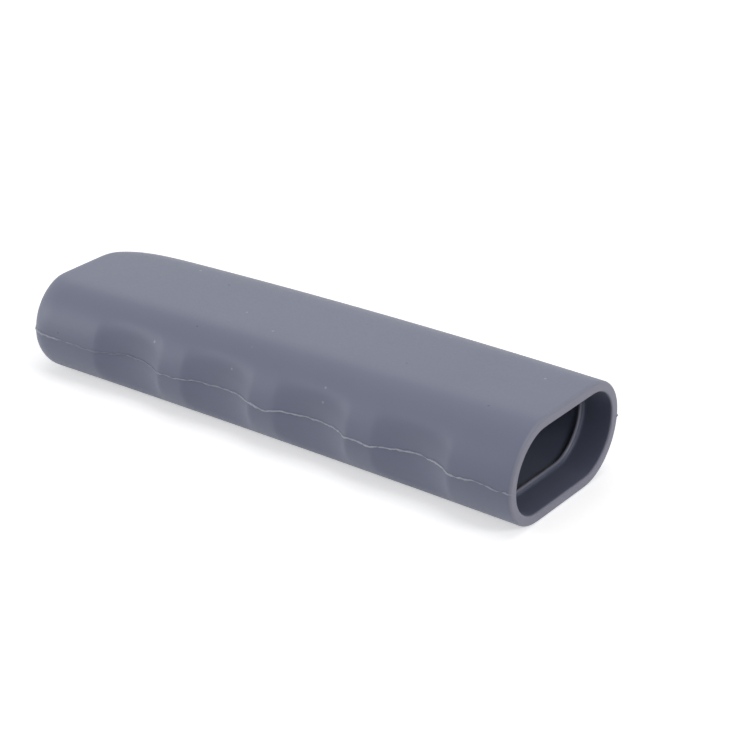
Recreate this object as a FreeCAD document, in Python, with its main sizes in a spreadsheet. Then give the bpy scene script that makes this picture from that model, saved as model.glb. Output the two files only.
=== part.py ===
import FreeCAD, Part
import math
import os
import Sketcher

# Push-on sleeve for a door lever handle: one hollow silicone moulding, 122 mm long, with an
# open mouth, a rounded closed end, four finger scallops along one side and a small bead
# inside the mouth. X runs along the sleeve with the mouth at +X, Y runs across it with the
# scalloped side at -Y, and Z is up from the flat face that the sleeve rests on.

SIZES = [
    ("length", 122, "closed end to mouth"),
    ("width", 35, "across the mouth"),
    ("height", 20, "from the resting face to the top face at the mouth"),
    ("end_height", 18, "the same where the closed end would be square"),
    ("seam_height", 8.4, "widest line of the scalloped side above the resting face"),
    ("crease_angle", 11, "turn where a long side meets its flat face, degrees"),
    ("near_crown", 0.5, "how far the scalloped side draws in at mid-length"),
    ("far_crown", 1.6, "how far the plain side swells at mid-length"),
    ("wall", 2, "wall thickness, and the floor at the closed end"),
    ("near_reach", 8.8, "length of the closed end's rounding on the scalloped side"),
    ("far_reach", 23.9, "the same on the plain side"),
    ("top_reach", 4, "the same on the top face"),
    ("base_reach", 6.4, "the same on the resting face"),
    ("near_power", 3, "fullness of that rounding on the scalloped side, 2 is an ellipse"),
    ("far_power", 4, "the same on the plain side"),
    ("top_power", 3, "the same on the top face"),
    ("base_power", 1.5, "the same on the resting face"),
    ("tip_flat", 0.25, "depth of rounding left off at the very tip"),
    ("base_trim", 0.05, "depth shaved off underneath, so that the sleeve rests on a true plane"),
    ("scallop_count", 4, "finger scallops"),
    ("scallop_pitch", 22.8, "centre to centre"),
    ("scallop_first", 21, "mouth to the nearest scallop's centre"),
    ("scallop_radius", 19.5, "curve of each scallop in plan"),
    ("scallop_depth", 2.3, "depth of each scallop"),
    ("scallop_bevel", 0.5, "bevel where a scallop meets the side"),
    ("bead_inset", 7, "mouth to the bead inside it"),
    ("bead_width", 1.2, "bead along the sleeve"),
    ("bead_height", 0.7, "bead above the inner wall"),
    ("rim_round", 0.5, "rounding of the mouth's edges"),
]
# Straight spans round the closed end, outside and in the hollow, over the bead and round the rim.
END_SPANS = 11
HOLLOW_END_SPANS = 7
BEAD_SPANS = 4
RIM_SPANS = 3
# Two lengths closer than this count as the same.
CLOSE = 1e-4


def sizes_sheet(doc):
    """Spreadsheet of the driving sizes, in millimetres and degrees."""
    sheet = doc.addObject("Spreadsheet::Sheet", "Sizes")
    for row, (alias, value, meaning) in enumerate(SIZES, start=1):
        sheet.set("A%d" % row, alias)
        sheet.set("B%d" % row, str(value))
        sheet.set("C%d" % row, meaning)
        sheet.setAlias("B%d" % row, alias)
    doc.recompute()
    return sheet


def origin_feature(body, role):
    return next(part for part in body.Origin.OriginFeatures if part.Role == role)


def attached_sketch(body, name, role):
    sketch = body.newObject("Sketcher::SketchObject", name)
    sketch.AttachmentSupport = [(origin_feature(body, role), "")]
    sketch.MapMode = "FlatFace"
    return sketch


def bind(sketch, name, expression, *constraint):
    """Add a dimension, give it a name and tie it to the sizes."""
    number = sketch.addConstraint(Sketcher.Constraint(*constraint, sketch.evalExpression(expression)))
    sketch.renameConstraint(number, name)
    sketch.setExpression("Constraints." + name, expression)


def fullness(depth, reach, power):
    """Share of the full section at a depth inside the closed end, along a superellipse."""
    left = "max(0; (%s - (%s)) / (%s))" % (reach, depth, reach)
    return "pow(1 - pow(%s; %s); 1 / %s)" % (left, power, power)


def section_limits(x, inset, sink):
    """Extents of the section at x, as expressions: inset from the outside, its base sunk."""
    depth = "%s + Sizes.length / 2 - (%s) + Sizes.tip_flat" % (x, inset)
    along = "(Sizes.length / 2 - (%s)) / Sizes.length" % x
    bulge = "4 * %s * (1 - %s)" % (along, along)
    tall = "(Sizes.height - (Sizes.height - Sizes.end_height) * %s)" % along
    share = {}
    for side in ("near", "far", "top", "base"):
        reach = "(Sizes.%s_reach - (%s))" % (side, inset)
        share[side] = fullness(depth, reach, "Sizes.%s_power" % side)
    half = "(Sizes.width / 2 - (%s))" % inset
    rise = "(%s / 2 - (%s))" % (tall, inset)
    off_middle = "(%s / 2 - Sizes.seam_height * %s / Sizes.height)" % (tall, tall)
    return {
        "near": "%s * %s - Sizes.near_crown * %s" % (half, share["near"], bulge),
        "far": "%s * %s + Sizes.far_crown * %s" % (half, share["far"], bulge),
        "near_seam": "%s / 2 - %s * %s" % (tall, off_middle, share["base"]),
        "far_seam": "%s / 2 + %s * %s" % (tall, off_middle, share["top"]),
        "top": "%s / 2 + %s * %s" % (tall, rise, share["top"]),
        "base": "%s / 2 - (%s + %s) * %s" % (tall, rise, sink, share["base"]),
    }


def draw_section(sketch, x, inset, sink):
    """Closed outline of the sleeve at x: two flat faces, a tight arc and a long arc each side."""
    limit = section_limits(x, inset, sink)
    value = {name: sketch.evalExpression(text) for name, text in limit.items()}
    lean = math.radians(sketch.evalExpression("Sizes.crease_angle"))
    near = FreeCAD.Vector(-value["near"], value["near_seam"], 0)
    far = FreeCAD.Vector(value["far"], value["far_seam"], 0)
    near_long = (value["top"] - near.y) / math.cos(lean)
    far_long = (far.y - value["base"]) / math.cos(lean)
    near_short = near.y - value["base"]
    far_short = value["top"] - far.y
    up = FreeCAD.Vector(0, 0, 1)

    def arc(centre_x, centre_y, radius, start, end):
        circle = Part.Circle(FreeCAD.Vector(centre_x, centre_y, 0), up, radius)
        return Part.ArcOfCircle(circle, start, end)

    quarter = math.pi / 2
    near_upper = arc(near.x + near_long, near.y, near_long, quarter + lean, 2 * quarter)
    near_lower = arc(near.x + near_short, near.y, near_short, 2 * quarter, 3 * quarter)
    far_lower = arc(far.x - far_long, far.y, far_long, 3 * quarter + lean, 4 * quarter)
    far_upper = arc(far.x - far_short, far.y, far_short, 0, quarter)
    base_line = Part.LineSegment(near_lower.EndPoint, far_lower.StartPoint)
    top_line = Part.LineSegment(far_upper.EndPoint, near_upper.StartPoint)
    loop = [near_upper, near_lower, base_line, far_lower, far_upper, top_line]
    first = sketch.addGeometry(loop, False)[0]
    a_near_up, a_near_low, a_base, a_far_low, a_far_up, a_top = range(first, first + len(loop))
    start, end, centre, origin = 1, 2, 3, (-1, 1)
    add = sketch.addConstraint
    add(Sketcher.Constraint("Tangent", a_near_up, end, a_near_low, start))
    add(Sketcher.Constraint("Tangent", a_near_low, end, a_base, start))
    add(Sketcher.Constraint("Coincident", a_base, end, a_far_low, start))
    add(Sketcher.Constraint("Tangent", a_far_low, end, a_far_up, start))
    add(Sketcher.Constraint("Tangent", a_far_up, end, a_top, start))
    add(Sketcher.Constraint("Coincident", a_top, end, a_near_up, start))
    add(Sketcher.Constraint("Horizontal", a_base))
    add(Sketcher.Constraint("Horizontal", a_top))
    add(Sketcher.Constraint("Horizontal", a_near_up, centre, a_near_up, end))
    add(Sketcher.Constraint("Horizontal", a_far_low, centre, a_far_low, end))
    bind(sketch, "near", limit["near"], "DistanceX", a_near_up, end, *origin)
    bind(sketch, "far", limit["far"], "DistanceX", *origin, a_far_low, end)
    bind(sketch, "near_seam", limit["near_seam"], "DistanceY", *origin, a_near_up, end)
    bind(sketch, "far_seam", limit["far_seam"], "DistanceY", *origin, a_far_low, end)
    tight_near = "(%s) - (%s)" % (limit["near_seam"], limit["base"])
    tight_far = "(%s) - (%s)" % (limit["top"], limit["far_seam"])
    bind(sketch, "tight_near", tight_near, "Radius", a_near_low)
    bind(sketch, "tight_far", tight_far, "Radius", a_far_up)
    long_near = "((%s) - (%s)) / cos(Sizes.crease_angle * 1deg)" % (limit["top"], limit["near_seam"])
    long_far = "((%s) - (%s)) / cos(Sizes.crease_angle * 1deg)" % (limit["far_seam"], limit["base"])
    bind(sketch, "long_near", long_near, "Radius", a_near_up)
    bind(sketch, "long_far", long_far, "Radius", a_far_low)


def section_sketch(body, name, x, inset, sink):
    sketch = attached_sketch(body, name, "YZ_Plane")
    sketch.setExpression("AttachmentOffset.Base.z", x)
    draw_section(sketch, x, inset, sink)
    return sketch


def closed_end_stations(inset, spans):
    """Places of the sections round the closed end, closest together at the tip."""
    tip = "-Sizes.length / 2 + (%s)" % inset
    reach = "(Sizes.far_reach - (%s))" % inset
    shares = [(number / spans) ** 2 for number in range(spans + 1)]
    return [("%s + %s * %s" % (tip, reach, share), inset) for share in shares]


def crest_stations(sheet, inset):
    """Places of the sections midway between scallops, so that each scallop lies in one span."""
    first = "Sizes.length / 2 - Sizes.scallop_first"
    gaps = reversed(range(1, int(sheet.scallop_count)))
    return [("%s - Sizes.scallop_pitch * (%d - 0.5)" % (first, gap), inset) for gap in gaps]


def bead_stations(inset):
    """Half an ellipse drawn in from the hollow, which leaves the bead on the sleeve's wall."""
    centre = "Sizes.length / 2 - Sizes.bead_inset"
    stations = []
    for number in range(BEAD_SPANS + 1):
        turn = math.pi * number / BEAD_SPANS
        x = "%s - Sizes.bead_width / 2 * %s" % (centre, round(math.cos(turn), 6))
        stations.append((x, "%s + Sizes.bead_height * %s" % (inset, round(math.sin(turn), 6))))
    return stations


def rim_stations(inset, sign):
    """Quarter round at the mouth: drawn in on the outside, flared out in the hollow."""
    stations = []
    for number in range(RIM_SPANS + 1):
        turn = math.pi / 2 * number / RIM_SPANS
        x = "Sizes.length / 2 - Sizes.rim_round * %s" % round(1 - math.sin(turn), 6)
        drawn_in = sign * round(1 - math.cos(turn), 6)
        stations.append((x, "%s + Sizes.rim_round * %s" % (inset, drawn_in)))
    return stations


def lofted_form(body, name, stations, sink):
    """Form through all the sections, from the closed end to the mouth, in straight spans."""
    sketches = []
    for number, (x, inset) in enumerate(stations):
        sketches.append(section_sketch(body, "%sSection%02d" % (name, number), x, inset, sink))
    loft = body.newObject("PartDesign::AdditiveLoft", name)
    loft.Profile = sketches[0]
    loft.Sections = sketches[1:]
    loft.Ruled = True
    body.Document.recompute()
    return loft


def level_base(body):
    """Shave the underside flat at the resting plane."""
    sketch = attached_sketch(body, "LevelSketch", "XY_Plane")
    half_long = sketch.evalExpression("Sizes.length")
    half_wide = sketch.evalExpression("Sizes.width")
    corners = [(-half_long, -half_wide), (half_long, -half_wide), (half_long, half_wide), (-half_long, half_wide)]
    points = [FreeCAD.Vector(x, y, 0) for x, y in corners]
    sides = [Part.LineSegment(points[n], points[(n + 1) % len(points)]) for n in range(len(points))]
    sketch.addGeometry(sides, False)
    for n in range(len(points)):
        sketch.addConstraint(Sketcher.Constraint("Coincident", n, 2, (n + 1) % len(points), 1))
        sketch.addConstraint(Sketcher.Constraint("Vertical" if n % 2 else "Horizontal", n))
    sketch.addConstraint(Sketcher.Constraint("Symmetric", 0, 1, 2, 1, -1, 1))
    bind(sketch, "long", "Sizes.length * 2", "DistanceX", 0, 1, 0, 2)
    bind(sketch, "wide", "Sizes.width * 2", "DistanceY", 1, 1, 1, 2)
    pocket = body.newObject("PartDesign::Pocket", "Level")
    pocket.Profile = sketch
    pocket.Type = "Length"
    pocket.setExpression("Length", "Sizes.base_trim * 4")
    body.Document.recompute()
    return pocket


def upright_pocket(body, name, sketch):
    pocket = body.newObject("PartDesign::Pocket", name)
    pocket.Profile = sketch
    pocket.Type = "Length"
    pocket.Reversed = True
    pocket.setExpression("Length", "Sizes.height * 1.5")
    body.Document.recompute()
    return pocket


def scallop_cut(body):
    """Row of scallops cut by upright round cutters beside the near side."""
    sketch = attached_sketch(body, "ScallopSketch", "XY_Plane")
    place = "Sizes.length / 2 - Sizes.scallop_first"
    side = "Sizes.width / 2 - Sizes.scallop_depth + Sizes.scallop_radius"
    centre = FreeCAD.Vector(sketch.evalExpression(place), -sketch.evalExpression(side), 0)
    radius = sketch.evalExpression("Sizes.scallop_radius")
    sketch.addGeometry(Part.Circle(centre, FreeCAD.Vector(0, 0, 1), radius), False)
    bind(sketch, "radius", "Sizes.scallop_radius", "Radius", 0)
    bind(sketch, "place", place, "DistanceX", -1, 1, 0, 3)
    bind(sketch, "side", side, "DistanceY", 0, 3, -1, 1)
    pocket = upright_pocket(body, "Scallop", sketch)
    row = body.newObject("PartDesign::LinearPattern", "ScallopRow")
    row.Originals = [pocket]
    row.Direction = (sketch, ["H_Axis"])
    row.Reversed = True
    row.setExpression("Length", "Sizes.scallop_pitch * (Sizes.scallop_count - 1)")
    row.setExpression("Occurrences", "Sizes.scallop_count")
    body.Tip = row
    body.Document.recompute()
    return row


def straight_relief(body):
    """Take the core's near side in along the scallops, so that the wall stays whole behind them.

    It is straight from the first scallop to the last and runs out in an arc at each end, so
    the core still draws out of the moulding.
    """
    sketch = attached_sketch(body, "ReliefSketch", "XY_Plane")
    first = "Sizes.length / 2 - Sizes.scallop_first"
    span = "Sizes.scallop_pitch * (Sizes.scallop_count - 1)"
    face = "Sizes.width / 2 - Sizes.scallop_depth - Sizes.wall"
    curve = "Sizes.scallop_radius + Sizes.wall"
    value = {text: sketch.evalExpression(text) for text in (first, span, face, curve)}
    right = FreeCAD.Vector(value[first], -value[face] - value[curve], 0)
    left = right - FreeCAD.Vector(value[span], 0, 0)
    up = FreeCAD.Vector(0, 0, 1)
    right_arc = Part.ArcOfCircle(Part.Circle(right, up, value[curve]), 0, math.pi / 2)
    left_arc = Part.ArcOfCircle(Part.Circle(left, up, value[curve]), math.pi / 2, math.pi)
    straight = Part.LineSegment(right_arc.EndPoint, left_arc.StartPoint)
    outer = Part.LineSegment(left_arc.EndPoint, right_arc.StartPoint)
    sketch.addGeometry([right_arc, straight, left_arc, outer], False)
    start, end, centre = 1, 2, 3
    add = sketch.addConstraint
    add(Sketcher.Constraint("Tangent", 0, end, 1, start))
    add(Sketcher.Constraint("Tangent", 1, end, 2, start))
    add(Sketcher.Constraint("Coincident", 2, end, 3, start))
    add(Sketcher.Constraint("Coincident", 3, end, 0, start))
    add(Sketcher.Constraint("Horizontal", 1))
    add(Sketcher.Constraint("Horizontal", 0, centre, 0, start))
    add(Sketcher.Constraint("Horizontal", 2, centre, 2, end))
    bind(sketch, "curve", curve, "Radius", 0)
    bind(sketch, "first", first, "DistanceX", -1, 1, 1, start)
    bind(sketch, "span", span, "DistanceX", 1, end, 1, start)
    bind(sketch, "face", face, "DistanceY", 1, start, -1, 1)
    return upright_pocket(body, "Relief", sketch)


def same_edges(feature, chosen):
    """Names of the edges of a feature's shape that are among the chosen ones."""
    names = []
    for number, edge in enumerate(feature.Shape.Edges, start=1):
        if any(edge.isSame(wanted) for wanted in chosen):
            names.append("Edge%d" % number)
    return names


def scallop_edges(feature, radius):
    """Edges round the scallops: those of every upright round face of the cutter's radius."""
    chosen = []
    for face in feature.Shape.Faces:
        surface = face.Surface
        if isinstance(surface, Part.Cylinder) and abs(surface.Radius - radius) < CLOSE:
            if abs(surface.Axis.z) > 1 - CLOSE:
                chosen.extend(face.Edges)
    return same_edges(feature, chosen)


def bevelled(body, name, base, edges, size):
    bevel = body.newObject("PartDesign::Chamfer", name)
    bevel.Base = (base, edges)
    bevel.setExpression("Size", size)
    body.Document.recompute()
    return bevel


def core_body(doc, sheet):
    """The mould's core, one wall inside the outer form, grooved for the bead."""
    core = doc.addObject("PartDesign::Body", "Core")
    wall = "Sizes.wall"
    stations = closed_end_stations(wall, HOLLOW_END_SPANS) + crest_stations(sheet, wall)
    stations += bead_stations(wall) + rim_stations(wall, -1)
    lofted_form(core, "Hollow", stations, "0")
    straight_relief(core)
    return core


def sleeve(doc, sheet):
    """The whole moulding: outer form, level base, bevelled scallops and hollow."""
    core = core_body(doc, sheet)
    body = doc.addObject("PartDesign::Body", "Sleeve")
    body.Label = "sleeve"
    stations = closed_end_stations("0", END_SPANS) + crest_stations(sheet, "0")
    stations += rim_stations("0", 1)
    lofted_form(body, "Outside", stations, "Sizes.base_trim")
    level_base(body)
    row = scallop_cut(body)
    edges = scallop_edges(row, sheet.scallop_radius)
    bevelled(body, "ScallopBevel", row, edges, "Sizes.scallop_bevel")
    hollowed = body.newObject("PartDesign::Boolean", "Cavity")
    hollowed.Type = "Cut"
    hollowed.addObjects([core])
    doc.recompute()
    return body


def check_and_write(doc, nodes):
    """Stop on any failed feature or bad solid, then write one file for each piece."""
    doc.recompute()
    for item in doc.Objects:
        if "Invalid" in item.State or "Error" in item.State:
            raise RuntimeError("%s failed: %s" % (item.Name, item.State))
    os.makedirs("parts", exist_ok=True)
    for node in nodes:
        shape = node.Shape
        if shape.isNull() or not shape.isValid() or len(shape.Solids) != 1:
            raise RuntimeError("%s has no single sound solid" % node.Label)
        shape.exportStep(os.path.join("parts", node.Label + ".step"))
        print("%s: %.0f mm3, %d faces" % (node.Label, shape.Volume, len(shape.Faces)))


def main():
    doc = FreeCAD.newDocument("LeverSleeve")
    sheet = sizes_sheet(doc)
    check_and_write(doc, [sleeve(doc, sheet)])


main()
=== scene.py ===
import math

import bpy
import numpy as np
from mathutils import Matrix, Vector


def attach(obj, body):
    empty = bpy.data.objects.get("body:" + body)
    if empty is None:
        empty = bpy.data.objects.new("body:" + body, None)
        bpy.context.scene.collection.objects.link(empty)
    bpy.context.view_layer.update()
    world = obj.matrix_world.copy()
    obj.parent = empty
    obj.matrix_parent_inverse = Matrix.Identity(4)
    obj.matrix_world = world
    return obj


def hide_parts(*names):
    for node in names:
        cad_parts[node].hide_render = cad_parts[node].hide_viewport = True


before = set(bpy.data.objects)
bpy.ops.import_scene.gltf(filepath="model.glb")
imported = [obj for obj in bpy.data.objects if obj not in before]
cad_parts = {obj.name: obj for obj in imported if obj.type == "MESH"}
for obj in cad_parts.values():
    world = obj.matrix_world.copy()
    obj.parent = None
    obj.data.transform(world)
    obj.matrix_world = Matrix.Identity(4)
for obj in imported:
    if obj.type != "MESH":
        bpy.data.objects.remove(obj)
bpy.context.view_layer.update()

MM = 0.001

# Sizes of the sleeve in millimetres, the same as the solid's, but for the scallops, the bead and
# the rounds at the mouth, which follow the photo more closely here. X runs along the sleeve with
# the mouth at +X, the scalloped side is at -Y, and it rests on Z = 0.
LENGTH, WIDTH, HEIGHT, END_HEIGHT = 122.0, 35.0, 20.0, 18.0
# Height of the widest line of the scalloped side at the mouth.
SEAM_HEIGHT = 8.4
# Angle at which a long arc meets its flat face.
CREASE_ANGLE = math.radians(11.0)
# How far the scalloped side draws in and the plain side swells out, half way along.
NEAR_CROWN, FAR_CROWN = 0.5, 1.6
WALL = 2.0
# The closed end's rounding on each side: how far it reaches along, and its curve's power.
REACH = {"near": 8.8, "far": 23.9, "top": 4.0, "base": 6.4}
POWER = {"near": 3.0, "far": 4.0, "top": 3.0, "base": 1.5}
SCALLOPS, SCALLOP_PITCH, SCALLOP_FIRST = 4, 23.3, 22.1
SCALLOP_RADIUS, SCALLOP_DEPTH, SCALLOP_SOFTNESS = 17.0, 2.3, 0.3
# Heights over which a scallop fades out into the side, and the height of its middle.
FADE_ABOVE, FADE_BELOW, SCALLOP_MIDDLE = 7.9, 8.0, 9.1
BEAD_INSET, BEAD_WIDTH, BEAD_HEIGHT = 7.0, 0.9, 0.6
RIM_ROUND, LIP_ROUND = 0.55, 0.35
# Height of the parting line on the scalloped side and on the plain side.
LINE_NEAR, LINE_FAR = 9.4, 10.6

# Points round the section on each of its six stretches, and how far its creases are eased.
STRETCH_POINTS = {"long": 46, "tight": 40, "flat": 34}
CREASE_EASE = 3.0
# Rings round the closed end, along the sides, over the bead, and in the hollow's three stretches.
TIP_ROWS, SIDE_ROWS, BEAD_ROWS = 56, 165, 14
MOUTH_ROWS, HOLLOW_ROWS, HOLLOW_TIP_ROWS = 8, 70, 20
ROUNDING_STEPS = 8


def limits(x, inset):
    """Extents of the section at x, drawn in from the outside by inset."""
    depth = x + LENGTH / 2 - inset
    along = (LENGTH / 2 - x) / LENGTH
    bulge = 4 * along * (1 - along)
    tall = HEIGHT - (HEIGHT - END_HEIGHT) * along
    share = {}
    for side in REACH:
        reach = REACH[side] - inset
        left = min(1.0, max(0.0, (reach - depth) / reach))
        share[side] = (1 - left ** POWER[side]) ** (1 / POWER[side])
    half = WIDTH / 2 - inset
    rise = tall / 2 - inset
    off_middle = tall / 2 - SEAM_HEIGHT * tall / HEIGHT
    return {
        "near": half * share["near"] - NEAR_CROWN * bulge,
        "far": half * share["far"] + FAR_CROWN * bulge,
        "near_seam": tall / 2 - off_middle * share["base"],
        "far_seam": tall / 2 + off_middle * share["top"],
        "top": tall / 2 + rise * share["top"],
        "base": tall / 2 - rise * share["base"],
    }


def arc(centre, radius, start, end, count):
    """Points round an arc, without its end."""
    turn = np.linspace(start, end, count, endpoint=False)
    return np.column_stack([centre[0] + radius * np.cos(turn), centre[1] + radius * np.sin(turn)])


def section_ring(x, inset):
    """Closed ring of (y, z) points: two flat faces, a tight arc and a long arc on each side."""
    lim = limits(x, inset)
    near, far = (-lim["near"], lim["near_seam"]), (lim["far"], lim["far_seam"])
    near_long = (lim["top"] - near[1]) / math.cos(CREASE_ANGLE)
    far_long = (far[1] - lim["base"]) / math.cos(CREASE_ANGLE)
    near_tight = near[1] - lim["base"]
    far_tight = lim["top"] - far[1]
    quarter = math.pi / 2
    on_long, on_tight, on_flat = (STRETCH_POINTS[kind] for kind in ("long", "tight", "flat"))
    near_upper = arc((near[0] + near_long, near[1]), near_long,
                     quarter + CREASE_ANGLE, 2 * quarter, on_long)
    near_lower = arc((near[0] + near_tight, near[1]), near_tight,
                     2 * quarter, 3 * quarter, on_tight)
    far_lower = arc((far[0] - far_long, far[1]), far_long,
                    3 * quarter + CREASE_ANGLE, 4 * quarter, on_long)
    far_upper = arc((far[0] - far_tight, far[1]), far_tight, 0, quarter, on_tight)
    flat = np.linspace(0, 1, on_flat, endpoint=False)[:, None]
    base_from = np.array([near[0] + near_tight, lim["base"]])
    base = base_from + flat * (far_lower[0] - base_from)
    top_from = np.array([far[0] - far_tight, lim["top"]])
    top = top_from + flat * (near_upper[0] - top_from)
    ring = np.vstack([near_upper, near_lower, base, far_lower, far_upper, top])
    span = int(3 * CREASE_EASE)
    shifts = range(-span, span + 1)
    weights = np.exp(-0.5 * (np.arange(-span, span + 1) / CREASE_EASE) ** 2)
    eased = sum(weight * np.roll(ring, shift, 0) for weight, shift in zip(weights, shifts))
    return eased / weights.sum()


def rounding(end, radius):
    """(x, drop) down a quarter round that ends at the mouth."""
    turns = [math.pi / 2 * n / ROUNDING_STEPS for n in range(ROUNDING_STEPS + 1)]
    return [(end - radius * (1 - math.sin(turn)), radius * (1 - math.cos(turn))) for turn in turns]


def outside_rows():
    """(x, inset) of each ring from the outer tip to the mouth's face."""
    tip, mouth = -LENGTH / 2, LENGTH / 2
    out = [(tip + REACH["far"] * (n / TIP_ROWS) ** 2, 0.0) for n in range(1, TIP_ROWS)]
    start, end = tip + REACH["far"], mouth - RIM_ROUND
    out += [(start + (end - start) * n / SIDE_ROWS, 0.0) for n in range(SIDE_ROWS)]
    return out + rounding(mouth, RIM_ROUND)


def hollow_rows():
    """(x, inset) of each ring from the mouth's face to the hollow's floor."""
    tip, mouth = -LENGTH / 2, LENGTH / 2
    out = [(x, WALL - drop) for x, drop in rounding(mouth, LIP_ROUND)[::-1]]
    bead, half = mouth - BEAD_INSET, BEAD_WIDTH / 2
    lip = mouth - LIP_ROUND
    out += [(lip + (bead + half - lip) * n / MOUTH_ROWS, WALL) for n in range(1, MOUTH_ROWS)]
    turns = [math.pi * n / BEAD_ROWS for n in range(BEAD_ROWS + 1)]
    out += [(bead + half * math.cos(turn), WALL + BEAD_HEIGHT * math.sin(turn)) for turn in turns]
    floor = tip + REACH["far"]
    stretch = floor - bead + half
    out += [(bead - half + stretch * n / HOLLOW_ROWS, WALL) for n in range(1, HOLLOW_ROWS)]
    depth = REACH["far"] - WALL
    shares = [n / HOLLOW_TIP_ROWS for n in range(HOLLOW_TIP_ROWS, 0, -1)]
    out += [(tip + WALL + depth * share ** 2, WALL) for share in shares]
    return out


def sleeve_form():
    """Mesh of the moulding before its scallops are pressed in, closed at both poles."""
    stations = outside_rows() + hollow_rows()
    rings, insets = [], []
    for x, inset in stations:
        ring = section_ring(x, inset)
        rings.append(np.column_stack([np.full(len(ring), x), ring]))
        insets.append(np.full(len(ring), inset))
    count = len(rings[0])
    middle = END_HEIGHT / 2
    poles = [(-LENGTH / 2, 0, middle), (-LENGTH / 2 + WALL, 0, middle)]
    points = np.vstack(rings + [poles]) * MM
    inset = np.concatenate(insets + [[0.0, WALL]]) * MM
    faces = []
    for row in range(len(rings) - 1):
        for n in range(count):
            m = (n + 1) % count
            a, b = row * count, (row + 1) * count
            faces.append((a + n, a + m, b + m, b + n))
    outer_pole, inner_pole = len(points) - 2, len(points) - 1
    last = (len(rings) - 1) * count
    for n in range(count):
        m = (n + 1) % count
        faces.append((outer_pole, m, n))
        faces.append((inner_pole, last + n, last + m))
    mesh = bpy.data.meshes.new("sleeve_form")
    mesh.from_pydata(points.tolist(), [], faces)
    depths = mesh.attributes.new("inset", "FLOAT", "POINT").data
    depths.foreach_set("value", inset.astype(np.float32))
    mesh.shade_smooth()
    mesh.update()
    return mesh


def add(tree, kind, sockets=None, **settings):
    """Add a node with its settings. Sockets takes values, and outputs or nodes to link."""
    node = tree.nodes.new(kind)
    for name, value in settings.items():
        setattr(node, name, value)
    for key, value in (sockets or {}).items():
        if isinstance(value, bpy.types.Node):
            value = value.outputs[0]
        if isinstance(value, bpy.types.NodeSocket):
            tree.links.new(value, node.inputs[key])
        else:
            node.inputs[key].default_value = value
    return node


# Share of the wall's thickness from which a point counts as the hollow's.
HOLLOW_FROM = 0.9

PRESS_SIZES = [
    ("Scallops", "NodeSocketInt", SCALLOPS),
    ("Pitch", "NodeSocketFloat", SCALLOP_PITCH * MM),
    ("First Centre", "NodeSocketFloat", (LENGTH / 2 - SCALLOP_FIRST) * MM),
    ("Radius", "NodeSocketFloat", SCALLOP_RADIUS * MM),
    ("Depth", "NodeSocketFloat", SCALLOP_DEPTH * MM),
    ("Softness", "NodeSocketFloat", SCALLOP_SOFTNESS * MM),
    ("Middle Height", "NodeSocketFloat", SCALLOP_MIDDLE * MM),
    ("Fade Above", "NodeSocketFloat", FADE_ABOVE * MM),
    ("Fade Below", "NodeSocketFloat", FADE_BELOW * MM),
    ("Wall", "NodeSocketFloat", WALL * MM),
]


def new_tree(name, extra=()):
    """New tree whose inputs are the press's sizes and any extra ones."""
    tree = bpy.data.node_groups.new(name, "GeometryNodeTree")
    tree.interface.new_socket("Geometry", in_out="INPUT", socket_type="NodeSocketGeometry")
    for label, kind, value in list(PRESS_SIZES) + list(extra):
        tree.interface.new_socket(label, in_out="INPUT", socket_type=kind).default_value = value
    tree.interface.new_socket("Geometry", in_out="OUTPUT", socket_type="NodeSocketGeometry")
    return tree, tree.nodes.new("NodeGroupInput").outputs


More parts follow.
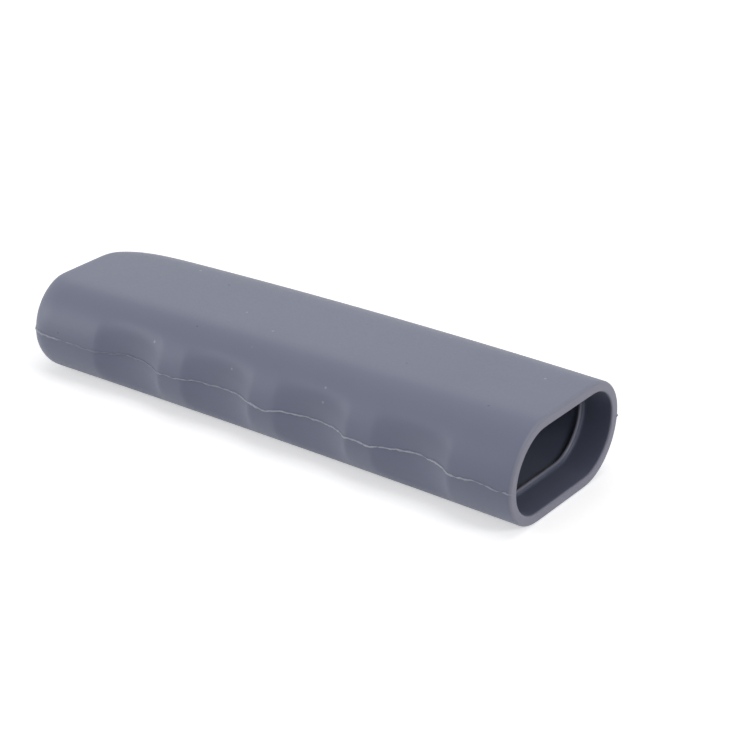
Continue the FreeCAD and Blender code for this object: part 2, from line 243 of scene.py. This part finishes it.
def scallop_press():
    """Node group that presses a row of round scallops into the near side, fading up and down.

    The hollow's side goes in by the same depth, straight from the first scallop to the last.
    """
    tree, given = new_tree("ScallopPress")
    math_node, mix_node = "ShaderNodeMath", "ShaderNodeMix"
    place = add(tree, "GeometryNodeInputPosition")
    x, y, z = add(tree, "ShaderNodeSeparateXYZ", {0: place}).outputs
    named = add(tree, "GeometryNodeInputNamedAttribute", {"Name": "inset"}, data_type="FLOAT")
    inset = named.outputs["Attribute"]
    # The scallop that each point is nearest to.
    back = add(tree, math_node, {0: given["First Centre"], 1: x}, operation="SUBTRACT")
    last = add(tree, math_node, {0: given["Scallops"], 1: 1.0}, operation="SUBTRACT")
    count = add(tree, math_node, {0: back, 1: given["Pitch"]}, operation="DIVIDE")
    nearest = add(tree, math_node, {0: count}, operation="ROUND")
    nearest = add(tree, math_node, {0: nearest, 1: 0.0}, operation="MAXIMUM")
    nearest = add(tree, math_node, {0: nearest, 1: last}, operation="MINIMUM")
    own_centre = add(tree, math_node, {0: nearest, 1: given["Pitch"]}, operation="MULTIPLY")
    # In the hollow, any place from the first scallop's centre to the last one's.
    row = add(tree, math_node, {0: last, 1: given["Pitch"]}, operation="MULTIPLY")
    anywhere = add(tree, math_node, {0: back, 1: 0.0}, operation="MAXIMUM")
    anywhere = add(tree, math_node, {0: anywhere, 1: row}, operation="MINIMUM")
    nearly_wall = add(tree, math_node, {0: given["Wall"], 1: HOLLOW_FROM}, operation="MULTIPLY")
    hollow = add(tree, math_node, {0: inset, 1: nearly_wall}, operation="GREATER_THAN")
    centre = add(tree, mix_node, {0: hollow, 2: own_centre, 3: anywhere})
    # Depth below the side's line of a round this far from its centre.
    off = add(tree, math_node, {0: back, 1: centre}, operation="SUBTRACT")
    radius = add(tree, math_node, {0: given["Radius"], 1: inset}, operation="ADD")
    radius_square = add(tree, math_node, {0: radius, 1: radius}, operation="MULTIPLY")
    off_square = add(tree, math_node, {0: off, 1: off}, operation="MULTIPLY")
    room = add(tree, math_node, {0: radius_square, 1: off_square}, operation="SUBTRACT")
    room = add(tree, math_node, {0: room, 1: 0.0}, operation="MAXIMUM")
    bow = add(tree, math_node, {0: room}, operation="SQRT")
    sunk = add(tree, math_node, {0: radius, 1: given["Depth"]}, operation="SUBTRACT")
    deep = add(tree, math_node, {0: bow, 1: sunk}, operation="SUBTRACT")
    push = add(tree, math_node, {0: deep, 1: 0.0, 2: given["Softness"]}, operation="SMOOTH_MAX")
    # Share of the depth that is left above and below the scallop's middle.
    height = add(tree, math_node, {0: z, 1: given["Middle Height"]}, operation="SUBTRACT")
    above = add(tree, math_node, {0: height, 1: 0.0}, operation="GREATER_THAN")
    fade = add(tree, mix_node, {0: above, 2: given["Fade Below"], 3: given["Fade Above"]})
    fade = add(tree, math_node, {0: fade, 1: inset}, operation="SUBTRACT")
    part = add(tree, math_node, {0: height, 1: fade}, operation="DIVIDE")
    part = add(tree, math_node, {0: part, 1: part}, operation="MULTIPLY")
    part = add(tree, math_node, {0: part, 1: 1.0}, operation="MINIMUM")
    left = add(tree, math_node, {0: 1.0, 1: part}, operation="SUBTRACT")
    share = add(tree, math_node, {0: left, 1: 2.0}, operation="POWER")
    near_side = add(tree, math_node, {0: y, 1: 0.0}, operation="LESS_THAN")
    share = add(tree, math_node, {0: share, 1: near_side}, operation="MULTIPLY")
    inward = add(tree, math_node, {0: push, 1: share}, operation="MULTIPLY")
    moved = add(tree, "ShaderNodeCombineXYZ", {1: inward})
    placed = add(tree, "GeometryNodeSetPosition", {"Geometry": given["Geometry"], "Offset": moved})
    add(tree, "NodeGroupOutput", {0: placed})
    return tree


def pressed(tree, group, given):
    """The given geometry, pressed by the group."""
    sockets = {"Geometry": given["Geometry"]}
    sockets.update({label: given[label] for label, _, _ in PRESS_SIZES})
    node = tree.nodes.new("GeometryNodeGroup")
    node.node_tree = group
    for key, value in sockets.items():
        tree.links.new(value, node.inputs[key])
    return node.outputs["Geometry"]


def finish_tree(tree, geometry, look):
    """Ends a tree: real geometry with its material set."""
    real = add(tree, "GeometryNodeRealizeInstances", {0: geometry})
    painted = add(tree, "GeometryNodeSetMaterial", {"Geometry": real, "Material": look})
    add(tree, "NodeGroupOutput", {0: painted})


def sleeve_tree(group, look):
    """The sleeve with the scallops pressed in."""
    tree, given = new_tree("ScallopedSleeve")
    finish_tree(tree, pressed(tree, group, given), look)
    return tree


FLASH_SIZES = [
    ("Step", "NodeSocketFloat", 0.35 * MM),
    ("Flash Radius", "NodeSocketFloat", 0.14 * MM),
    ("Unevenness", "NodeSocketFloat", 0.8),
    ("Wander", "NodeSocketFloat", 0.7 * MM),
    ("Seed", "NodeSocketFloat", 4.0),
]


# The flash changes thickness about every 1.1 mm and height about every 4 mm.
EDGE_PER_METRE, WAVE_PER_METRE = 900.0, 260.0
# Middle stretch of a noise, which is drawn out to its whole range.
NOISE_LOW, NOISE_HIGH = 0.3, 0.7
FLASH_SIDES = 6


def flash_tree(group, look):
    """Thin uneven rib along a path that is first pressed into the scallops."""
    tree, given = new_tree("PartingFlash", FLASH_SIZES)
    path = add(tree, "GeometryNodeMeshToCurve", {0: pressed(tree, group, given)})
    steps = add(tree, "GeometryNodeResampleCurve", {"Curve": path, "Length": given["Step"]},
                mode="LENGTH")
    place = add(tree, "GeometryNodeInputPosition")
    uneven = add(tree, "ShaderNodeTexNoise", {
        "Vector": place, "W": given["Seed"], "Scale": EDGE_PER_METRE, "Detail": 2.0,
    }, noise_dimensions="4D")
    swing = add(tree, "ShaderNodeMapRange", {
        0: uneven, 1: NOISE_LOW, 2: NOISE_HIGH, 3: -1.0, 4: 1.0,
    })
    part = add(tree, "ShaderNodeMath", {0: swing, 1: given["Unevenness"], 2: 1.0},
               operation="MULTIPLY_ADD")
    size = add(tree, "ShaderNodeMath", {0: part, 1: given["Flash Radius"]}, operation="MULTIPLY")
    sized = add(tree, "GeometryNodeSetCurveRadius", {"Curve": steps, "Radius": size})
    wave = add(tree, "ShaderNodeTexNoise", {
        "Vector": place, "W": given["Seed"], "Scale": WAVE_PER_METRE, "Detail": 3.0,
    }, noise_dimensions="4D")
    level = add(tree, "ShaderNodeMapRange", {0: wave, 1: NOISE_LOW, 2: NOISE_HIGH, 3: -0.5, 4: 0.5})
    rise = add(tree, "ShaderNodeMath", {0: level, 1: given["Wander"]}, operation="MULTIPLY")
    shift = add(tree, "ShaderNodeCombineXYZ", {2: rise})
    moved = add(tree, "GeometryNodeSetPosition", {"Geometry": sized, "Offset": shift})
    profile = add(tree, "GeometryNodeCurvePrimitiveCircle", {
        "Resolution": FLASH_SIDES, "Radius": 1.0,
    })
    rib = add(tree, "GeometryNodeCurveToMesh", {
        "Curve": moved, "Profile Curve": profile, "Scale": size, "Fill Caps": True,
    })
    finish_tree(tree, rib, look)
    return tree


def baked(name, mesh, tree):
    """Object whose mesh is what the tree makes of the given mesh, with no modifier left."""
    source = bpy.data.objects.new(name + "_source", mesh)
    bpy.context.scene.collection.objects.link(source)
    modifier = source.modifiers.new("Form", "NODES")
    modifier.node_group = tree
    for item in tree.interface.items_tree:
        if item.in_out == "INPUT" and item.socket_type != "NodeSocketGeometry":
            modifier[item.identifier] = item.default_value
    bpy.context.view_layer.update()
    evaluated = source.evaluated_get(bpy.context.evaluated_depsgraph_get())
    made = bpy.data.meshes.new_from_object(evaluated)
    made.name = name
    source.modifiers.remove(modifier)
    bpy.data.objects.remove(source)
    piece = bpy.data.objects.new(name, made)
    bpy.context.scene.collection.objects.link(piece)
    made.shade_smooth()
    return piece


def seam_path():
    """Open chain of points along the parting line, from the mouth round the tip and back."""
    middle = END_HEIGHT / 2
    near, far = [], []
    for x, drop in outside_rows():
        lim = limits(x, drop)
        near_long = (lim["top"] - lim["near_seam"]) / math.cos(CREASE_ANGLE)
        far_long = (lim["far_seam"] - lim["base"]) / math.cos(CREASE_ANGLE)
        full = (lim["top"] - middle) / (HEIGHT - middle)
        near_line = middle + (LINE_NEAR - middle) * min(1.0, full)
        far_line = middle + (LINE_FAR - middle) * min(1.0, full)
        near_turn = math.asin(max(0.0, min(1.0, (near_line - lim["near_seam"]) / near_long)))
        far_turn = math.asin(max(0.0, min(1.0, (lim["far_seam"] - far_line) / far_long)))
        near_side = -lim["near"] + near_long * (1 - math.cos(near_turn))
        far_side = lim["far"] - far_long * (1 - math.cos(far_turn))
        near.append((x, near_side, lim["near_seam"] + near_long * math.sin(near_turn)))
        far.append((x, far_side, lim["far_seam"] - far_long * math.sin(far_turn)))
    points = np.array(near[::-1] + [(-LENGTH / 2, 0, middle)] + far) * MM
    mesh = bpy.data.meshes.new("seam_path")
    mesh.from_pydata(points.tolist(), [(n, n + 1) for n in range(len(points) - 1)], [])
    mesh.attributes.new("inset", "FLOAT", "POINT")
    return mesh


def linear(hexcode):
    """Linear colour of an sRGB hex code, opaque."""
    values = [int(hexcode[n:n + 2], 16) / 255 for n in (1, 3, 5)]
    return [v / 12.92 if v <= 0.04045 else ((v + 0.055) / 1.055) ** 2.4 for v in values] + [1.0]


def material(name):
    """New empty material and its tree."""
    made = bpy.data.materials.new(name)
    made.use_nodes = True
    made.node_tree.nodes.clear()
    return made, made.node_tree


# Patterns per metre: pigment drifts over about 30 mm, the skin sags over about 8 mm, specks of
# dust lie in cells 2.5 mm wide, and the paper's fibre is about 3 mm long.
PIGMENT_DRIFT, SKIN_SAG, DUST_CELLS, PAPER_FIBRE = 33.0, 120.0, 400.0, 300.0
# The tool's blasting is about 0.1 mm. It is drawn at 0.5 mm, the least that shows.
BLASTING = 2000.0
# A speck fades out between these shares of a cell, so it is about 0.5 mm wide.
SPECK_CORE, SPECK_EDGE = 0.07, 0.14
# Shares of the cells that hold a dark or a pale speck, and how strongly a speck colours.
DARK_SPECKS, PALE_SPECKS = 0.045, 0.08
DARK_STRENGTH, PALE_STRENGTH = 0.6, 0.5
# Painted highlight starts at this share of the bead's height, is full at this share of the rim's
# round, and is this strong at the lip.
BEAD_HIGHLIGHT_FROM, RIM_HIGHLIGHT_FULL, LIP_HIGHLIGHT = 0.4, 0.5, 0.7
# Stretch of the pigment's noise over which its colour changes.
PIGMENT_LOW, PIGMENT_HIGH = 0.35, 0.65
BLASTED_SPREAD, POLISHED_ROUGHNESS = 0.04, 0.36
SILICONE_IOR = 1.43


def moulded_silicone(name, body, shade, hollow_shade, rough):
    """Pigmented silicone rubber, compression moulded. The tool outside is blasted, which gives a
    matte skin, even in colour, that only glances at a low angle. The tool inside is polished, so
    the hollow is a little glossier; the hollow's colour is painted darker as painted shade, and
    the bead's crest and the lip are painted paler as painted highlight. Lint and dust cling to the
    skin as small specks."""
    made, tree = material(name)
    math_node, mix_node, map_node = "ShaderNodeMath", "ShaderNodeMix", "ShaderNodeMapRange"
    where = add(tree, "ShaderNodeTexCoord").outputs["Object"]
    # The colour drifts between shade and body: a little pigment drift on the sleeve, and bright and
    # dim stretches of painted highlight on the flash.
    drift = add(tree, "ShaderNodeTexNoise", {
        "Vector": where, "Scale": PIGMENT_DRIFT, "Detail": 3.0,
    })
    tone = add(tree, map_node, {0: drift, 1: PIGMENT_LOW, 2: PIGMENT_HIGH})
    base = add(tree, mix_node, {0: tone, 6: linear(shade), 7: linear(body)}, data_type="RGBA")
    # Dust: a few of the cells hold a dark speck, and a few a pale one.
    cells = add(tree, "ShaderNodeTexVoronoi", {
        "Vector": where, "Scale": DUST_CELLS, "Randomness": 1.0,
    })
    near = add(tree, map_node, {
        0: cells.outputs["Distance"], 1: SPECK_CORE, 2: SPECK_EDGE, 3: 1.0, 4: 0.0,
    })
    draw = add(tree, "ShaderNodeSeparateColor", {0: cells.outputs["Color"]})
    dark = add(tree, math_node, {0: draw, 1: DARK_SPECKS}, operation="LESS_THAN")
    dark = add(tree, math_node, {0: near, 1: dark}, operation="MULTIPLY")
    dark = add(tree, math_node, {0: dark, 1: DARK_STRENGTH}, operation="MULTIPLY")
    pale = add(tree, math_node, {0: draw, 1: 1 - PALE_SPECKS}, operation="GREATER_THAN")
    pale = add(tree, math_node, {0: near, 1: pale}, operation="MULTIPLY")
    pale = add(tree, math_node, {0: pale, 1: PALE_STRENGTH}, operation="MULTIPLY")
    dusty = add(tree, mix_node, {
        0: dark, 6: base.outputs[2], 7: linear("#4d5060"),
    }, data_type="RGBA")
    flecked = add(tree, mix_node, {
        0: pale, 6: dusty.outputs[2], 7: linear("#b4b7c4"),
    }, data_type="RGBA")
    # From the mouth's inner edge the hollow is glossier, and its colour is painted darker as
    # painted shade.
    inset = add(tree, "ShaderNodeAttribute", attribute_name="inset").outputs["Fac"]
    hollow_shade_and_polish = add(tree, map_node, {0: inset, 1: (WALL - LIP_ROUND) * MM, 2: WALL * MM})
    tone_with_hollow_shade = add(tree, mix_node, {
        0: hollow_shade_and_polish, 6: flecked.outputs[2], 7: linear(hollow_shade),
    }, data_type="RGBA")
    # Painted highlight: the bead's crest and the lip at the mouth are painted paler.
    crest = add(tree, map_node, {
        0: inset, 1: (WALL + BEAD_HIGHLIGHT_FROM * BEAD_HEIGHT) * MM, 2: (WALL + BEAD_HEIGHT) * MM,
    })
    along = add(tree, "ShaderNodeSeparateXYZ", {0: where})
    lip = add(tree, map_node, {
        0: along,
        1: (LENGTH / 2 - RIM_ROUND) * MM, 2: (LENGTH / 2 - RIM_HIGHLIGHT_FULL * RIM_ROUND) * MM,
    })
    lip = add(tree, math_node, {0: lip, 1: LIP_HIGHLIGHT}, operation="MULTIPLY")
    painted_highlight = add(tree, math_node, {0: crest, 1: lip}, operation="MAXIMUM")
    # Pale grey of the painted highlight.
    highlit_tone = add(tree, mix_node, {
        0: painted_highlight, 6: tone_with_hollow_shade.outputs[2], 7: linear("#8e8e9c"),
    }, data_type="RGBA")
    grain = add(tree, "ShaderNodeTexNoise", {
        "Vector": where, "Scale": BLASTING, "Detail": 2.0,
    })
    sag = add(tree, "ShaderNodeTexNoise", {
        "Vector": where, "Scale": SKIN_SAG, "Detail": 1.0,
    })
    fine = add(tree, "ShaderNodeBump", {"Height": grain, "Strength": 0.12, "Distance": 0.05 * MM})
    skin = add(tree, "ShaderNodeBump", {
        "Height": sag, "Strength": 0.15, "Distance": 0.3 * MM, "Normal": fine,
    })
    matte = add(tree, map_node, {
        0: grain, 1: NOISE_LOW, 2: NOISE_HIGH, 3: rough - BLASTED_SPREAD, 4: rough + BLASTED_SPREAD,
    })
    gloss = add(tree, mix_node, {0: hollow_shade_and_polish, 2: matte, 3: POLISHED_ROUGHNESS})
    surface = add(tree, "ShaderNodeBsdfPrincipled", {
        "Base Color": highlit_tone.outputs[2], "Roughness": gloss, "IOR": SILICONE_IOR,
        "Normal": skin, "Sheen Weight": 0.15, "Sheen Roughness": 0.45,
    })
    add(tree, "ShaderNodeOutputMaterial", {0: surface})
    return made


# Light that the paper adds where it is seen, near the object and far from it, and the metres
# between which it changes. The lamps reach less far than the paper does.
FLOOR_LIFT, FAR_FLOOR_LIFT = 0.5, 0.85
LIFT_FROM, LIFT_TO = 0.2, 0.7
# Strength of the surroundings as a light. Where they are seen, they are white.
WORLD_LEVEL = 0.29
FLOOR_HALF, FLOOR_DROP = 2.0, 0.02 * MM
# Each lamp's place and size in metres, and its power in watts.
LAMPS = [
    ("overhead", (0.0, 0.1, 0.75), 0.7, 1.6),
    ("behind", (-0.45, 0.56, 0.36), 0.5, 0.3),
    ("closed_end", (-0.65, -0.4, 0.24), 0.4, 1.65),
    ("mouth", (0.72, 0.0, 0.48), 0.3, 1.7),
]


def background_ray(tree):
    """1 on rays from the camera and on those that gloss or clear material sends on."""
    ray = add(tree, "ShaderNodeLightPath").outputs
    seen = add(tree, "ShaderNodeMath", {0: ray["Is Camera Ray"], 1: ray["Is Glossy Ray"]},
               operation="MAXIMUM")
    return add(tree, "ShaderNodeMath", {0: seen, 1: ray["Is Transmission Ray"]},
               operation="MAXIMUM").outputs[0]


def seamless_paper():
    """Pale studio paper, lifted to white where it is seen, so the shadow on it stays."""
    made, tree = material("seamless_paper")
    where = add(tree, "ShaderNodeTexCoord").outputs["Object"]
    fibre = add(tree, "ShaderNodeTexNoise", {
        "Vector": where, "Scale": PAPER_FIBRE, "Detail": 2.0,
    })
    tone = add(tree, "ShaderNodeMix", {
        0: fibre, 6: linear("#f3f3f3"), 7: linear("#f6f6f6"),
    }, data_type="RGBA")
    sheet = add(tree, "ShaderNodeBsdfDiffuse", {"Color": tone.outputs[2]})
    away = add(tree, "ShaderNodeVectorMath", {0: where}, operation="LENGTH")
    level = add(tree, "ShaderNodeMapRange", {
        0: away.outputs["Value"], 1: LIFT_FROM, 2: LIFT_TO, 3: FLOOR_LIFT, 4: FAR_FLOOR_LIFT,
    })
    lift = add(tree, "ShaderNodeMath", {0: background_ray(tree), 1: level}, operation="MULTIPLY")
    glow = add(tree, "ShaderNodeEmission", {"Color": linear("#ffffff"), "Strength": lift})
    both = add(tree, "ShaderNodeAddShader", {0: sheet, 1: glow})
    add(tree, "ShaderNodeOutputMaterial", {0: both})
    return made


def studio():
    """Pale floor, white surroundings and four soft lamps."""
    world = bpy.data.worlds.new("studio")
    bpy.context.scene.world = world
    world.use_nodes = True
    tree = world.node_tree
    tree.nodes.clear()
    level = add(tree, "ShaderNodeMapRange", {0: background_ray(tree), 3: WORLD_LEVEL, 4: 1.0})
    back = add(tree, "ShaderNodeBackground", {"Color": linear("#ffffff"), "Strength": level})
    add(tree, "ShaderNodeOutputWorld", {0: back})

    mesh = bpy.data.meshes.new("floor")
    corners = [(-1, -1), (1, -1), (1, 1), (-1, 1)]
    points = [(x * FLOOR_HALF, y * FLOOR_HALF, -FLOOR_DROP) for x, y in corners]
    mesh.from_pydata(points, [], [(0, 1, 2, 3)])
    mesh.materials.append(seamless_paper())
    floor = bpy.data.objects.new("floor", mesh)
    bpy.context.scene.collection.objects.link(floor)

    for name, place, size, power in LAMPS:
        data = bpy.data.lights.new(name, "AREA")
        data.shape = "DISK"
        data.size = size
        data.energy = power
        lamp = bpy.data.objects.new(name, data)
        lamp.location = place
        lamp.rotation_euler = (-Vector(place)).to_track_quat("-Z", "Y").to_euler()
        bpy.context.scene.collection.objects.link(lamp)


# The photograph's viewpoint: its turns in degrees, and where the middle of the mouth is on its
# 750 px frame and how far from the lens.
CAMERA_YAW, CAMERA_PITCH, CAMERA_ROLL = 128.536, 25.884, 1.512
MOUTH_ACROSS_PX, MOUTH_DOWN_PX, MOUTH_AWAY_MM = 566.175, 453.288, 354.143
FOCAL_PX, FRAME_PX, SENSOR_MM = 2000.0, 750.0, 36.0


def photo_camera():
    """Camera at the photograph's viewpoint."""
    yaw, pitch, roll = (math.radians(turn) for turn in (CAMERA_YAW, CAMERA_PITCH, CAMERA_ROLL))
    ahead = math.cos(pitch)
    forward = Vector((math.cos(yaw) * ahead, math.sin(yaw) * ahead, -math.sin(pitch)))
    level = Vector((math.sin(yaw), -math.cos(yaw), 0))
    plumb = forward.cross(level)
    right = level * math.cos(roll) + plumb * math.sin(roll)
    down = plumb * math.cos(roll) - level * math.sin(roll)
    across = (MOUTH_ACROSS_PX - FRAME_PX / 2) / FOCAL_PX
    below = (MOUTH_DOWN_PX - FRAME_PX / 2) / FOCAL_PX
    mouth = Vector((LENGTH / 2, 0, HEIGHT / 2))
    place = (mouth - (right * across + down * below + forward) * MOUTH_AWAY_MM) * MM
    data = bpy.data.cameras.new("photo_camera")
    data.lens = FOCAL_PX / FRAME_PX * SENSOR_MM
    data.sensor_width = SENSOR_MM
    data.clip_start, data.clip_end = 0.01, 20.0
    camera = bpy.data.objects.new("photo_camera", data)
    turn = Matrix((right, -down, -forward)).transposed().to_4x4()
    camera.matrix_world = Matrix.Translation(place) @ turn
    bpy.context.scene.collection.objects.link(camera)
    bpy.context.scene.camera = camera


# Slate grey silicone, with its hollow painted darker as painted shade, and the same in the thin
# flash, which lets light through; its paleness is painted highlight and painted light, in bright
# and dim stretches.
silicone = moulded_silicone("moulded_silicone_slate", body="#767b90", shade="#73788d",
                            hollow_shade="#5f6477", rough=0.48)
flash_highlight_silicone = moulded_silicone("silicone_flash_edge", body="#abaebc", shade="#7d8194",
                                 hollow_shade="#9497a9", rough=0.4)
press = scallop_press()
sleeve = baked("sleeve_moulding", sleeve_form(), sleeve_tree(press, silicone))
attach(sleeve, "root")
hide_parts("sleeve")
flash = baked("parting_flash", seam_path(), flash_tree(press, flash_highlight_silicone))
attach(flash, "root")
studio()
photo_camera()
bpy.context.scene.view_settings.view_transform = "Standard"
